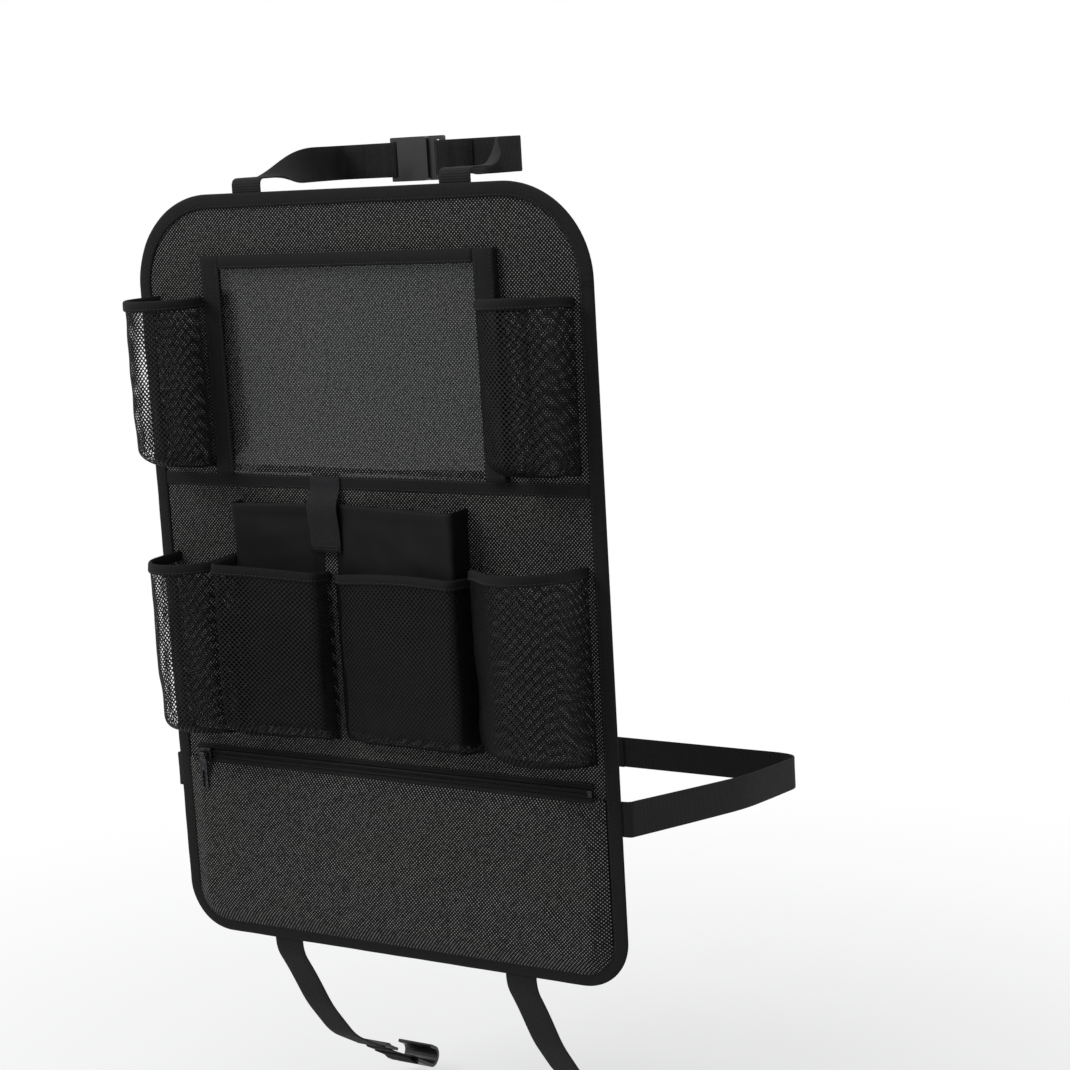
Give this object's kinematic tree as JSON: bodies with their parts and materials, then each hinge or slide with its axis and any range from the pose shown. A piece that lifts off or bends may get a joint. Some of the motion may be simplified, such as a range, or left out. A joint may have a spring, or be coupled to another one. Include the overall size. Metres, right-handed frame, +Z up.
{
  "type": "car seat back organizer",
  "caption": "Fabric panel with mesh, cloth, clear and zipped pockets that hangs behind a car seat on webbing straps.",
  "frame": {"origin": "centre of the panel's flat back face, which lies against the seat's back", "axes": "+Z up along the panel's height, +Y out of the panel's back towards the seat, +X to the right as the rear passenger sees the pockets"},
  "size_m": [0.4932, 0.425, 0.8964],
  "materials": {
    "woven_fabric": "coarse woven polyester with a pale fleck",
    "binding_tape": "matt woven tape",
    "clear_film": "clear flexible film",
    "mesh_fabric": "open knitted mesh",
    "plain_cloth": "smooth lining cloth",
    "zip_coil": "satin nylon",
    "zip_metal": "black lacquered metal",
    "webbing": "ribbed polypropylene webbing",
    "moulded_plastic": "satin moulded plastic"
  },
  "bodies": {
    "organizer": {"back_panel": "woven_fabric", "edge_binding": "binding_tape", "cross_tape": "binding_tape", "window_film": "clear_film", "window_tape_left": "binding_tape", "window_tape_right": "binding_tape", "window_hem": "binding_tape", "left_bottle_pocket": "mesh_fabric", "left_bottle_pocket_hem": "binding_tape", "right_bottle_pocket": "mesh_fabric", "right_bottle_pocket_hem": "binding_tape", "can_pocket": "mesh_fabric", "can_pocket_hem": "binding_tape", "phone_pocket": "mesh_fabric", "phone_pocket_hem": "binding_tape", "glasses_pocket": "mesh_fabric", "glasses_pocket_hem": "binding_tape", "flask_pocket": "mesh_fabric", "flask_pocket_hem": "binding_tape", "tissue_pocket": "plain_cloth", "papers_pocket": "plain_cloth", "mouth_strap": "binding_tape", "zip_tape_upper": "binding_tape", "zip_tape_lower": "binding_tape", "zip_teeth_upper": "zip_coil", "zip_teeth_lower": "zip_coil", "zip_stop_left": "zip_metal", "zip_stop_right": "zip_metal", "zip_pocket": "woven_fabric", "headrest_strap_left": "webbing", "headrest_strap_right": "webbing", "headrest_buckle_socket": "moulded_plastic", "headrest_buckle_tongue": "moulded_plastic", "seat_belt_left": "webbing", "seat_belt_right": "webbing", "seat_belt_buckle_socket": "moulded_plastic", "seat_belt_buckle_tongue": "moulded_plastic", "seat_belt_glide": "moulded_plastic", "foot_strap_left": "webbing", "foot_strap_left_glide": "moulded_plastic", "foot_strap_left_hook": "moulded_plastic", "foot_strap_right": "webbing", "foot_strap_right_glide": "moulded_plastic", "foot_strap_right_hook": "moulded_plastic"},
    "slider": {"zip_slider": "zip_metal"},
    "pull": {"zip_pull": "zip_metal"}
  },
  "joints": [
    {"name": "zip_slide", "type": "slide", "parent": "organizer", "child": "slider", "axis": [1, 0, 0], "range_m": [0, 0.384]},
    {"name": "pull_swing", "type": "hinge", "parent": "slider", "child": "pull", "pos_m": [-0.1922, -0.0134, -0.1635], "axis": [-1, 0, 0], "range_deg": [0, 120]}
  ]
}
